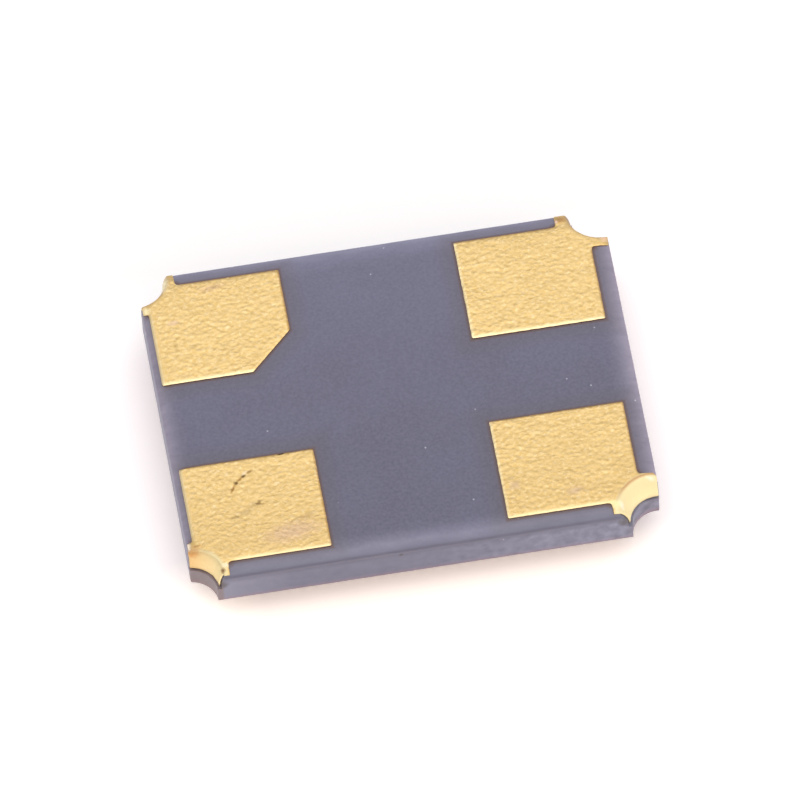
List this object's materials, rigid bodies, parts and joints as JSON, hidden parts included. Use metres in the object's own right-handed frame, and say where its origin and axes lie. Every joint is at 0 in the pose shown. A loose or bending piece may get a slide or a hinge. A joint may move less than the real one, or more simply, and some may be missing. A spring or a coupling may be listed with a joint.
{
  "type": "crystal oscillator",
  "caption": "Surface-mount quartz crystal oscillator in a flat dark ceramic package, with gold solder lands at the notched corners and a welded metal lid.",
  "frame": {"origin": "centre of the lid's outer face, under the middle of the ceramic outline", "axes": "+Z out of the solder lands, so the part lies on its lid as it does before it is turned over for soldering; +X along the long side, from the marked first land to the ground land"},
  "size_m": [0.0032, 0.0024, 0.0005],
  "materials": {
    "dark_ceramic": "unglazed dark alumina, as fired, satin",
    "gold_plating": "electroplated gold over nickel, pebbled by the print under it",
    "inner_metal": "printed tungsten, gold plated where it is bare",
    "bump_gold": "pressed gold studs",
    "braze_silver": "silver-copper braze, plated",
    "ring_metal": "nickel-plated iron-nickel-cobalt alloy, satin",
    "lid_metal": "nickel-plated iron-nickel-cobalt alloy, rolled satin",
    "silicon": "ground silicon",
    "quartz": "lapped quartz, clear",
    "electrode_silver": "evaporated silver film",
    "silver_adhesive": "silver-filled silicone"
  },
  "bodies": {
    "root": {"ceramic_base": "dark_ceramic", "land_1_enable": "gold_plating", "land_2_ground": "gold_plating", "land_3_output": "gold_plating", "land_4_supply": "gold_plating", "enable_trace": "inner_metal", "ground_trace": "inner_metal", "output_trace": "inner_metal", "supply_trace": "inner_metal", "crystal_trace_a": "inner_metal", "crystal_trace_b": "inner_metal", "shelf_pad_a": "inner_metal", "shelf_pad_b": "inner_metal", "lid_ground_via": "inner_metal", "seal_plating": "gold_plating", "braze_frame": "braze_silver", "seal_ring": "ring_metal", "lid": "lid_metal", "oscillator_chip": "silicon", "chip_bumps": "bump_gold", "quartz_blank": "quartz", "electrode_lid_side": "electrode_silver", "electrode_base_side": "electrode_silver", "adhesive_dot_a": "silver_adhesive", "adhesive_dot_b": "silver_adhesive"}
  },
  "joints": []
}
